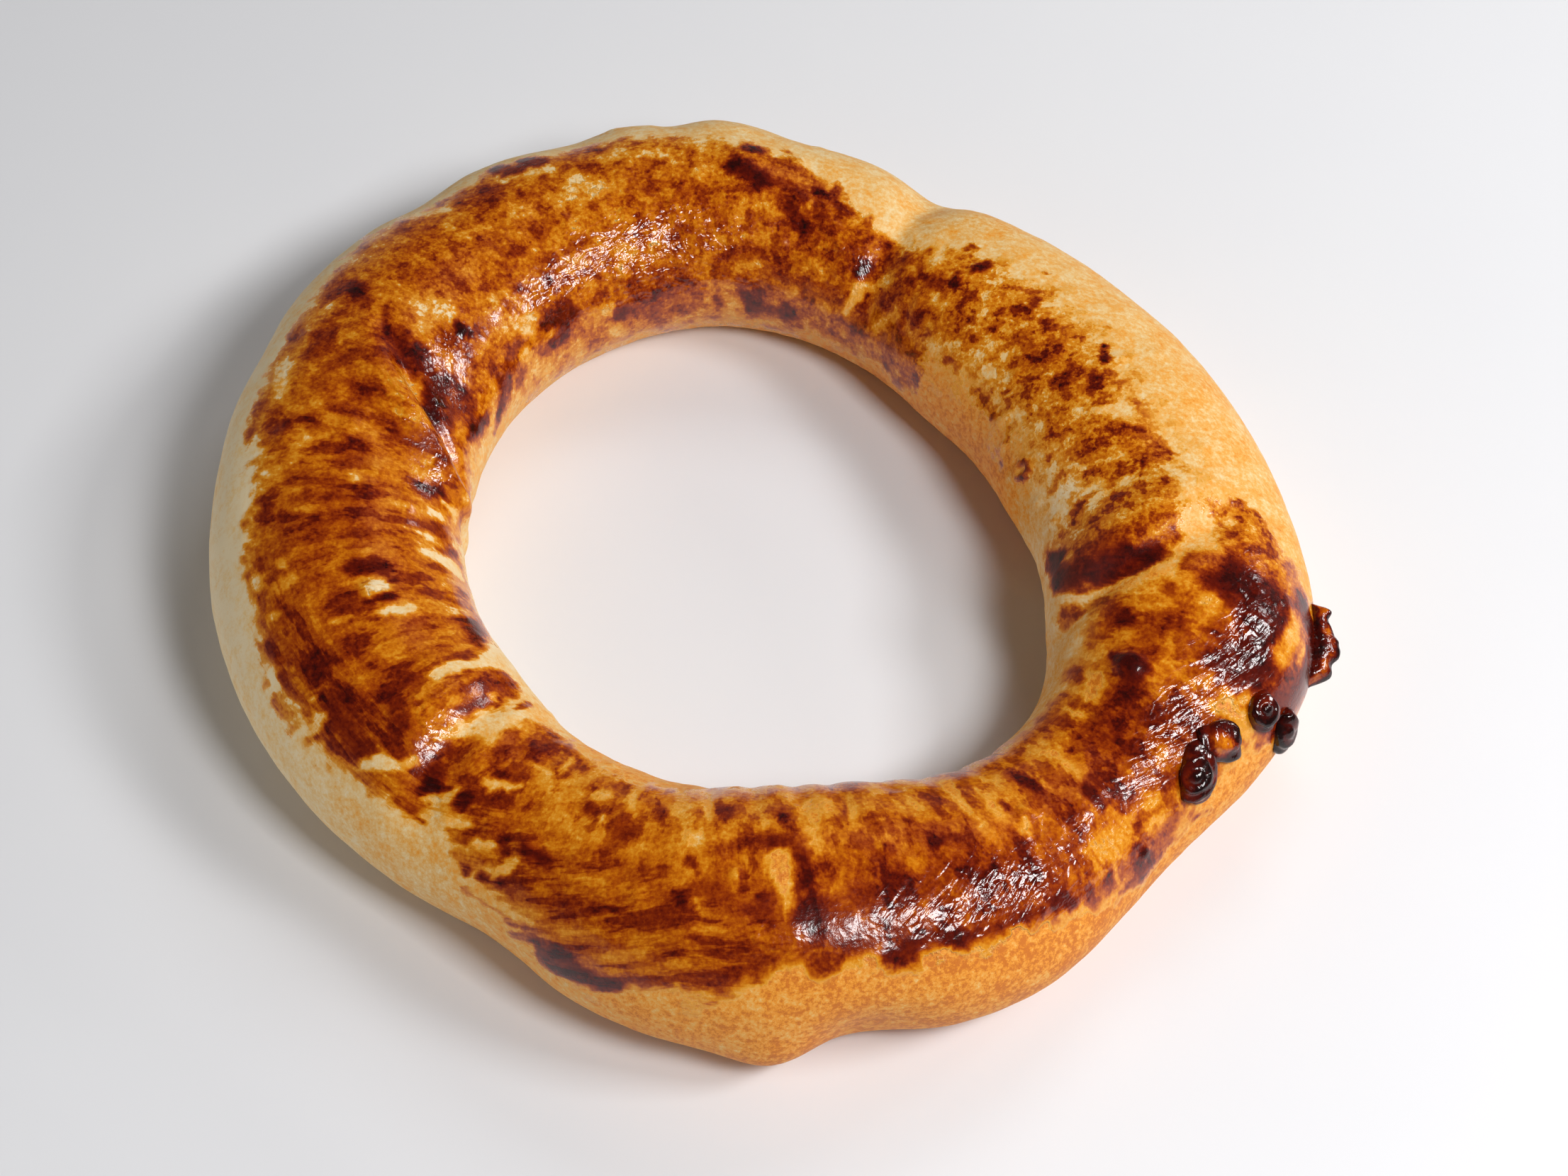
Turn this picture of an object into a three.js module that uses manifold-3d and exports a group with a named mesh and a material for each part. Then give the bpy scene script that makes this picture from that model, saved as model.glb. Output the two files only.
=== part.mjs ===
// A ring of filled cheese bread, baked in one piece. A rope of dough is bent round and closed on
// itself, uneven in width, with the notches, folds and pleats of its crust, and with cheese that
// ran out at the join and burnt on as beads and a ragged flap.
//
// Millimetres, +Z up, flat base on Z = 0. A bearing goes round the ring in degrees, from +X towards
// +Y. A roll goes round the rope in degrees: 0 faces outwards, 90 up and 180 into the hole.
import * as THREE from 'three';
import { mergeVertices } from 'three/addons/utils/BufferGeometryUtils.js';
import Module from 'manifold-3d';

// Ring and rope
const RING_RADIUS = 76.5;
const RING_OVAL = 5.5; // the ring's middle line lies this much further out along OVAL_BEARING
const OVAL_BEARING = 122;
const ROPE_HALF_WIDTH = 22;
const ROPE_ASPECT = 0.86; // half height over half width
const BASE_CUT = 0.8; // the rope's middle stands this share of its half height above the base

// How finely the rope is divided
const STEPS_ROUND_RING = 140;
const STEPS_ROUND_ROPE = 32;

// Stretches where the rope lies further out or is thicker. Spread is in degrees of bearing.
const SWELLS = [
  { bearing: 15, spread: 13, shift: -1.0, swell: 1.6 },
  { bearing: 52, spread: 17, shift: -3.2, swell: -0.3 },
  { bearing: 71, spread: 11, shift: -0.5, swell: -2.2 },
  { bearing: 97, spread: 12, shift: 1.8, swell: 0.0 },
  { bearing: 160, spread: 20, shift: 0.5, swell: 2.3 },
  { bearing: 192, spread: 22, shift: 3.8, swell: 0.4 },
  { bearing: 234, spread: 11, shift: -0.4, swell: -2.2 },
  { bearing: 268, spread: 11, shift: 0.0, swell: 1.4 },
  { bearing: 285, spread: 10, shift: -2.3, swell: 0.6 },
  { bearing: 317, spread: 11, shift: -3.4, swell: -3.9 },
  { bearing: 347, spread: 11, shift: 1.2, swell: 2.4 },
];

// Rounded dips and lumps in the skin. Length is along the ring and width round the rope.
const LUMPS = {
  backNotch: { bearing: 67, roll: 42, length: 4.6, width: 12, height: -2.4 },
  backDip: { bearing: 86, roll: 38, length: 6.5, width: 9, height: -1.8 },
  backDipByTheScorch: { bearing: 100.5, roll: 38, length: 3.6, width: 9, height: -1.7 },
  backLeftDip: { bearing: 112, roll: 38, length: 5.0, width: 9, height: -1.7 },
  backLeftHollow: { bearing: 131, roll: 36, length: 4.5, width: 9, height: -1.3 },
  leftShoulder: { bearing: 157, roll: 22, length: 5.0, width: 8, height: -1.0 },
  leftFoot: { bearing: 172, roll: 12, length: 14, width: 8, height: -1.3 },
  frontLeftTuck: { bearing: 240, roll: -14, length: 8.0, width: 8, height: -2.5 },
  frontTuck: { bearing: 280.5, roll: -14, length: 5.5, width: 8, height: -3.2 },
  footNub: { bearing: 271, roll: -27, length: 4.4, width: 6, height: 2.4 },
  frontHoleEdge: { bearing: 257, roll: 142, length: 9.0, width: 9, height: -1.4 },
  rightHoleEdge: { bearing: 328, roll: 166, length: 10, width: 8, height: -1.6 },
  hollowByTheFold: { bearing: 155.5, roll: 131, length: 5.0, width: 6, height: -1.8 },
  scorchedBump: { bearing: 92, roll: 94, length: 3.2, width: 3.6, height: 1.0 },
  hoodOverTheJoin: { bearing: 341, roll: 34, length: 6.0, width: 6.5, height: 1.4 },
  glossyBubble: { bearing: 329.5, roll: 98, length: 2.6, width: 5, height: 1.2 },
  glossyLump: { bearing: 313, roll: 72, length: 3.4, width: 4, height: 1.0 },
};

// Lines where the dough is folded or pinched in, each from one bearing and roll to another. A bank
// may stand beside the groove, on the left of the way along it where bankAt is positive.
const NO_BANK = { bank: 0, bankAt: 0, bankSpread: 1 };
const FOLD_BANK = { bank: 2.4, bankAt: -5.5, bankSpread: 4.2 };
const JOIN_BANK = { bank: 1.5, bankAt: 7, bankSpread: 5 };
const CREASES = {
  diagonalFold: { from: [150, 84], to: [175, 178], depth: 1.2, width: 1.8, ...FOLD_BANK },
  join: { from: [334, 164], to: [353, 80], depth: 1.9, width: 2.4, ...JOIN_BANK },
  backPinch: { from: [66.5, 30], to: [69, 128], depth: 1.6, width: 3.0, ...NO_BANK },
  neck: { from: [222, 150], to: [229, 60], depth: 0.9, width: 3.2, ...NO_BANK },
};

// Pleats gathered on the inner side at the front
const PLEAT_BEARINGS = [263, 270, 277, 283, 291, 298, 305, 312];
const PLEAT_ROLLS = [102, 172];
const PLEAT_LEAN = -1.5;
const PLEAT_GROOVE = { depth: 0.9, width: 1.7, ...NO_BANK };

// Burnt cheese. Size holds half the length along the ring, round the rope and out from the skin,
// and proud is how far the middle stands out of the skin.
const BEADS = {
  largeBead: { bearing: 334.5, roll: 33, size: [4.3, 4.6, 3.8], proud: 0.6 },
  hangingBead: { bearing: 335.6, roll: 14, size: [2.8, 3.6, 3.0], proud: -0.6 },
  crustedBead: { bearing: 325.6, roll: 32, size: [4.8, 4.2, 3.4], proud: 0.2 },
  crustedLobe: { bearing: 329, roll: 43, size: [3.6, 3.6, 3.0], proud: 0.0 },
};
const FLAP = { bearing: 346, roll: 8, size: [6.4, 2.6, 4.0], proud: -1.2 };
const FLAP_TEETH = 5;
const FLAP_TOOTH_DEPTH = 0.22;
const BEAD_DETAIL = 2;

const CRUST_COLOUR = '#b9691f';
const CRUST_ROUGHNESS = 0.45;

const radians = THREE.MathUtils.degToRad;
const UP = new THREE.Vector3(0, 0, 1);
const wasm = await Module();
wasm.setup();

// The short way round from one angle to another, in degrees
function turn(from, to) {
  return ((to - from + 900) % 360) - 180;
}

// A rounded hump, 1 at its middle and about 0.6 one spread away
function bell(distance, spread) {
  return Math.exp(-0.5 * (distance / spread) ** 2);
}

// The rope's middle line and half width at a bearing
function ropeAt(bearing) {
  let radius = RING_RADIUS + RING_OVAL * Math.cos(2 * radians(bearing - OVAL_BEARING));
  let halfWidth = ROPE_HALF_WIDTH;
  for (const swell of SWELLS) {
    const share = bell(turn(swell.bearing, bearing), swell.spread);
    radius += swell.shift * share;
    halfWidth += swell.swell * share;
  }
  return { radius, halfWidth };
}

// A place on the skin laid out flat round another one, in millimetres
function laidFlat(bearing, roll, fromBearing, fromRoll) {
  return new THREE.Vector2(
    radians(turn(fromBearing, bearing)) * RING_RADIUS,
    radians(turn(fromRoll, roll)) * ROPE_HALF_WIDTH,
  );
}

// How far a rounded lump lifts the skin
function lumpLift(lump, bearing, roll) {
  const place = laidFlat(bearing, roll, lump.bearing, lump.roll);
  return lump.height * bell(place.x, lump.length) * bell(place.y, lump.width);
}

// How far a crease lifts the skin: a groove along its line, with a bank beside it
function creaseLift(crease, bearing, roll) {
  const place = laidFlat(bearing, roll, ...crease.from);
  const line = laidFlat(...crease.to, ...crease.from);
  const span = line.length();
  const along = place.dot(line) / span;
  const across = line.cross(place) / span;
  const past = Math.max(-along, along - span, 0);
  const groove = crease.depth * bell(across, crease.width);
  const bank = crease.bank * bell(across - crease.bankAt, crease.bankSpread);
  return (bank - groove) * bell(past, 2 * crease.width);
}

// One pleat, leaning a little as it runs down into the hole
function pleat(bearing) {
  const from = [bearing, PLEAT_ROLLS[0]];
  const to = [bearing + PLEAT_LEAN, PLEAT_ROLLS[1]];
  return { from, to, ...PLEAT_GROOVE };
}

const ALL_LUMPS = Object.values(LUMPS);
const ALL_CREASES = [...Object.values(CREASES), ...PLEAT_BEARINGS.map(pleat)];

// All that lifts or sinks the skin at one place
function skinLift(bearing, roll) {
  let lift = 0;
  for (const lump of ALL_LUMPS) lift += lumpLift(lump, bearing, roll);
  for (const crease of ALL_CREASES) lift += creaseLift(crease, bearing, roll);
  return lift;
}

// A point of the skin, and the way out from it
function skinAt(bearing, roll) {
  const { radius, halfWidth } = ropeAt(bearing);
  const halfHeight = halfWidth * ROPE_ASPECT;
  const [across, upright] = [Math.cos(radians(roll)), Math.sin(radians(roll))];
  const out = new THREE.Vector2(across / halfWidth, upright / halfHeight).normalize();
  const lift = skinLift(bearing, roll);
  const reach = radius + halfWidth * across + lift * out.x;
  const height = Math.max(0, halfHeight * (BASE_CUT + upright) + lift * out.y);
  const point = new THREE.Vector3(reach, 0, height).applyAxisAngle(UP, radians(bearing));
  const normal = new THREE.Vector3(out.x, 0, out.y).applyAxisAngle(UP, radians(bearing));
  return { point, normal };
}

// A closed geometry with its shared corners joined, as a solid
function solidOf(geometry) {
  const bare = geometry.clone();
  bare.deleteAttribute('normal');
  bare.deleteAttribute('uv');
  const joined = mergeVertices(bare);
  const vertProperties = new Float32Array(joined.attributes.position.array);
  const triVerts = new Uint32Array(joined.index.array);
  return new wasm.Manifold(new wasm.Mesh({ numProp: 3, vertProperties, triVerts }));
}

// A solid's surface as a geometry
function geometryOf(solid) {
  const mesh = solid.getMesh();
  const geometry = new THREE.BufferGeometry();
  geometry.setAttribute('position', new THREE.BufferAttribute(mesh.vertProperties, 3));
  geometry.setIndex(new THREE.BufferAttribute(mesh.triVerts, 1));
  geometry.computeVertexNormals();
  return geometry;
}

// The rope of dough: a torus with every corner moved to the skin
function rope() {
  const geometry = new THREE.TorusGeometry(
    RING_RADIUS, ROPE_HALF_WIDTH, STEPS_ROUND_ROPE, STEPS_ROUND_RING,
  );
  const { position, uv } = geometry.attributes;
  for (let i = 0; i < position.count; i += 1) {
    const bearing = 360 * (uv.getX(i) % 1);
    const roll = 360 * (uv.getY(i) % 1);
    const { point } = skinAt(bearing, roll);
    position.setXYZ(i, point.x, point.y, point.z);
  }
  return solidOf(geometry);
}

// A ball of radius 1 stretched to a piece's size and set on the skin at its place
function setOnSkin(ball, piece) {
  const { point, normal } = skinAt(piece.bearing, piece.roll);
  const along = new THREE.Vector3(0, 1, 0).applyAxisAngle(UP, radians(piece.bearing));
  const round = new THREE.Vector3().crossVectors(normal, along);
  const place = new THREE.Matrix4().makeBasis(along, round, normal);
  place.setPosition(point.addScaledVector(normal, piece.proud));
  return ball.scale(...piece.size).applyMatrix4(place);
}

// A bead of burnt cheese
function bead(piece) {
  const ball = new THREE.IcosahedronGeometry(1, BEAD_DETAIL);
  return solidOf(setOnSkin(ball, piece));
}

// The ragged flap: a flat lens with teeth round its edge
function flap() {
  const ball = new THREE.IcosahedronGeometry(1, BEAD_DETAIL);
  const { position } = ball.attributes;
  for (let i = 0; i < position.count; i += 1) {
    const corner = new THREE.Vector3().fromBufferAttribute(position, i);
    const tooth = Math.cos(FLAP_TEETH * Math.atan2(corner.z, corner.x));
    corner.multiplyScalar(1 + FLAP_TOOTH_DEPTH * tooth);
    position.setXYZ(i, corner.x, corner.y, corner.z);
  }
  return solidOf(setOnSkin(ball, FLAP));
}

// The rope, the beads and the flap fused into one solid
function breadRing() {
  let solid = rope().add(flap());
  for (const piece of Object.values(BEADS)) solid = solid.add(bead(piece));
  const crust = new THREE.MeshStandardMaterial({
    color: CRUST_COLOUR, roughness: CRUST_ROUGHNESS, metalness: 0,
  });
  const mesh = new THREE.Mesh(geometryOf(solid), crust);
  mesh.name = 'bread_ring';
  return mesh;
}

// The ring stands with its box centred over the origin
const ring = breadRing();
const middle = new THREE.Box3().setFromObject(ring).getCenter(new THREE.Vector3());
ring.position.set(-middle.x, -middle.y, 0);

const group = new THREE.Group();
group.add(ring);

export default group;
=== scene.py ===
"""The looks of a ring of cheese bread: its crust as one fine surface, and the cheese burnt onto it.

Shapes are worked out in millimetres and put into meshes in metres. A bearing goes round the ring in
degrees, from +X towards +Y. A roll goes round the rope in degrees: 0 faces outwards, 90 up and 180
into the hole.
"""
import bpy
import numpy as np
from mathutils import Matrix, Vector


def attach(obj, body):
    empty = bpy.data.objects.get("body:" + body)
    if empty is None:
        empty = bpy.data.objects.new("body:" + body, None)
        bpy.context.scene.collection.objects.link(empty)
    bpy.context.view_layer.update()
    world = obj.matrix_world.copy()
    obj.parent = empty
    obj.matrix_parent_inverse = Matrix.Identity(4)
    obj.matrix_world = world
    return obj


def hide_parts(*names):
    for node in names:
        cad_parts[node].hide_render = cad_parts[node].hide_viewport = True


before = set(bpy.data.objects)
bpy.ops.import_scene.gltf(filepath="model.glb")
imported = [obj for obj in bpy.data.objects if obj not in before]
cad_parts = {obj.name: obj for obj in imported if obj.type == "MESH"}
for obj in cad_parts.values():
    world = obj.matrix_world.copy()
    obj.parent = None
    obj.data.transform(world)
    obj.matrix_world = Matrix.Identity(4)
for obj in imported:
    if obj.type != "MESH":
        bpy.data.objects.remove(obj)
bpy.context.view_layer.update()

MM = 0.001
NODE = "bread_ring"

# Ring and rope, as in the part
RING_RADIUS = 76.5
RING_OVAL = 5.5
OVAL_BEARING = 122
ROPE_HALF_WIDTH = 22
ROPE_ASPECT = 0.86
BASE_CUT = 0.8
RING_MIDDLE = np.array([1.076, 0.051, 0.0])
BASE_ROLL = 53.13

# Steps of the crust's grid round the ring, and round the rope over its skin and half its base
STEPS_ROUND_RING = 800
STEPS_OVER_SKIN = 114
STEPS_HALF_BASE = 5

# Large odd numbers that scatter the cells of a noise
SCATTER = (374761393, 668265263, 2246822519)
SCATTER_AGAIN = 1274126177

# Stretches where the rope lies further out or is thicker: bearing, spread, shift, swell
SWELLS = [
    (15, 13, -1.0, 1.6),
    (52, 17, -3.2, -0.3),
    (71, 11, -0.5, -2.2),
    (97, 12, 1.8, 0.0),
    (160, 20, 0.5, 2.3),
    (192, 22, 3.8, 0.4),
    (234, 11, -0.4, -2.2),
    (268, 11, 0.0, 1.4),
    (285, 10, -2.3, 0.6),
    (317, 11, -3.4, -3.9),
    (347, 11, 1.2, 2.4),
]

# Rounded dips and lumps: bearing, roll, length along the ring, width round the rope, height
LUMPS = {
    "back notch": (67, 42, 4.6, 12, -2.4),
    "back dip": (86, 38, 6.5, 9, -1.8),
    "back dip by the scorch": (100.5, 38, 3.6, 9, -1.7),
    "back left dip": (112, 38, 5.0, 9, -1.7),
    "back left hollow": (131, 36, 4.5, 9, -1.3),
    "left shoulder": (157, 22, 5.0, 8, -1.0),
    "left foot": (172, 12, 14, 8, -1.3),
    "front left tuck": (240, -14, 8.0, 8, -2.5),
    "front tuck": (280.5, -14, 5.5, 8, -3.2),
    "foot nub": (271, -27, 4.4, 6, 2.4),
    "front hole edge": (257, 142, 9.0, 9, -1.4),
    "right hole edge": (328, 166, 10, 8, -1.6),
    "hollow by the fold": (155.5, 131, 5.0, 6, -1.8),
    "scorched bump": (92, 94, 3.2, 3.6, 1.0),
    "hood over the join": (341, 34, 6.0, 6.5, 1.4),
    "glossy bubble": (329.5, 98, 2.6, 5, 1.2),
    "glossy lump": (313, 72, 3.4, 4, 1.0),
}

# Folds and pinches: from bearing and roll, to bearing and roll, depth, width, bank, bank at, bank spread
CREASES = {
    "diagonal fold": ((151.5, 93), (172, 170), 2.1, 1.5, 2.1, -4.2, 3.4),
    "tucked end": ((175, 150), (179, 186), 0.9, 1.5, 0.6, 3.0, 3.0),
    "join": ((334, 164), (353, 80), 1.9, 2.4, 1.5, 7, 5),
    "back pinch": ((66.5, 30), (69, 128), 1.6, 3.0, 0, 0, 1),
    "neck": ((221, 150), (227, 60), 1.2, 2.6, 0.7, -8.0, 4.0),
}
PLEAT_BEARINGS = (263, 270, 277, 283, 291, 298, 305, 312)
PLEAT_ROLLS = (102, 172)
PLEAT_LEAN = -1.5
PLEAT_GROOVE = (0.4, 1.5, 0, 0, 1)
# The shares of its length where a fold starts and is at its full depth
CREASE_GROWTH = (-0.1, 0.4)

# The edges of the brushed, browned stretch: bearing and roll, on the outer and on the inner side
WASH_OUTER_EDGE = [
    (0, 85), (20, 88), (45, 84), (58, 98), (64, 102), (70, 100), (76, 92), (82, 87), (90, 81), (100, 74),
    (116, 62), (122, 60), (130, 62), (140, 48), (152, 52), (165, 56), (185, 57), (195, 46), (207, 36),
    (215, 38), (220, 36), (226, 44), (231, 50), (236, 38), (244, 28), (249, 10), (255, 10), (258, 24),
    (266, 24), (271, 38), (285, 42), (298, 40), (303, 34), (312, 12), (318, 14), (322, 22), (330, 26),
    (333, 18), (336, -5), (347, -2), (350, 30), (356, 52), (358, 78),
]
WASH_INNER_EDGE = [
    (0, 142), (8, 150), (25, 148), (40, 140), (50, 150), (56, 178), (66, 182), (74, 185), (88, 200),
    (110, 200), (130, 190), (142, 182), (150, 172), (160, 164), (168, 172), (178, 168), (190, 169),
    (205, 162), (212, 146), (218, 142), (224, 128), (230, 136), (240, 134), (250, 124), (258, 128),
    (264, 150), (276, 160), (300, 168), (312, 160), (318, 140), (330, 132), (336, 128), (341, 150),
    (347, 170), (353, 172), (357, 150),
]
# How brown the brushed stretch is, by bearing, and how toasted the bare dough is
WASH_BROWN = [
    (0, .27), (20, .40), (45, .41), (60, .45), (75, .51), (90, .48), (108, .46), (140, .45), (168, .50),
    (180, .54), (200, .56), (215, .56), (225, .52), (245, .48), (262, .50), (285, .58), (300, .62),
    (312, .57), (325, .56), (340, .58), (350, .44), (356, .34),
]
DOUGH_TOAST = [
    (0, .48), (40, .44), (62, .42), (90, .36), (130, .26), (155, .14), (185, .04), (205, .10), (220, .26),
    (235, .48), (250, .64), (262, .72), (275, .82), (300, .86), (330, .82), (350, .58),
]
# How much paler the brushing is on the inner side, and how softly it ends there in degrees of roll
WASH_PALER_INSIDE = [
    (0, 0), (160, 0), (180, .10), (205, .10), (220, .04), (250, .04), (265, .12), (290, .19), (308, .22),
    (318, .14), (340, .14), (346, 0),
]
WASH_INNER_FADE = [
    (0, 30), (50, 26), (60, 14), (100, 20), (135, 26), (170, 16), (185, 9), (250, 9), (265, 20),
    (300, 22), (318, 10), (348, 10), (356, 24),
]
# How far the brush's lines and the wrinkles have climbed over the rope, by bearing, in millimetres
CLIMB = [
    (0, 42), (60, 20), (72, 2), (100, 0), (130, 4), (148, 8), (168, 30), (205, 30), (226, 30), (262, 55),
    (283, 58), (300, 78), (312, 80), (345, 58),
]

# Stretches along the ring: the middle bearing, and how far from it each ends and is still full
SPECKLED = (24, 48, 24)
DOTTED = (100, 75, 40)
BRUSHED_ALONG = (232, 50, 32)
GOLDEN_INSIDE = (90, 120, 70)
# Inside the right the dough is paler: partly its own paler tone, partly painted light on the shaded inner
# wall
PALE_AND_PAINTED_LIGHT_INSIDE = (335, 46, 22)
DULL_INSIDE = (347, 40, 16)
# Rolls where the last four start and are full, and where the paler brushing on the inner side does
BRUSHED_ALONG_ROLLS = (88, 62)
GOLDEN_ROLLS = (130, 160)
PALE_AND_PAINTED_LIGHT_ROLLS = (122, 140)
DULL_ROLLS = (112, 140)
PALER_ROLLS = (72, 102)
# How far the back is in dots, and how much more golden the dough is in the golden and in the pale stretch,
# the pale one partly painted light
DOTTED_SHARE = 0.6
GOLDEN_TOAST = 0.3
PALE_AND_PAINTED_LIGHT_TOAST = -0.45

# Noises of the browning: height, size of the lumps in millimetres, seed, and layers where they aren't
# three. The fringe is in degrees of roll, the rags and the fray in half widths of a dab, and the shifts
# of the whole pattern in millimetres
FINGERS = (1.0, 5, 31)
FRINGE = (6, 1.5, 36)
STREAKS = (0.10, 2.4, 49, 2)
RAGS = (0.5, 3.0, 51)
FRAY = (0.35, 1.2, 56)
SHIFT_ALONG = (1.0, 6, 11)
SHIFT_ALONG_FINE = (0.35, 1.5, 15)
SHIFT_AROUND = (1.4, 6, 21)
SHIFT_AROUND_FINE = (0.5, 1.5, 25)
TOAST_LUMPS = (0.10, 8, 61)
# How noise is drawn out along the brush's lines, and across the rope
BRUSH_SCALE = (0.3, 0.3, 1)
STREAK_SCALE = (1, 1, 0.35)
# Degrees of roll, in the streaks and in the speckles: how long the fingers are, how softly they end
FINGER_LENGTHS = (11, 5)
OUTER_FADES = (8, 20)
# How dark bare dough is, on the dabs' scale
BARE_BAKE = 0.05

# A dab's share of the tone under it, where its edge ends and is full, how wide it is at its start and its
# end, all in half widths, and the least length it counts as, in millimetres
DAB_COVER = 0.92
DAB_EDGE = (1.5, 0.5)
DAB_NARROWING = (1.15, 0.70)
SHORTEST_DAB = 0.001
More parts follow.
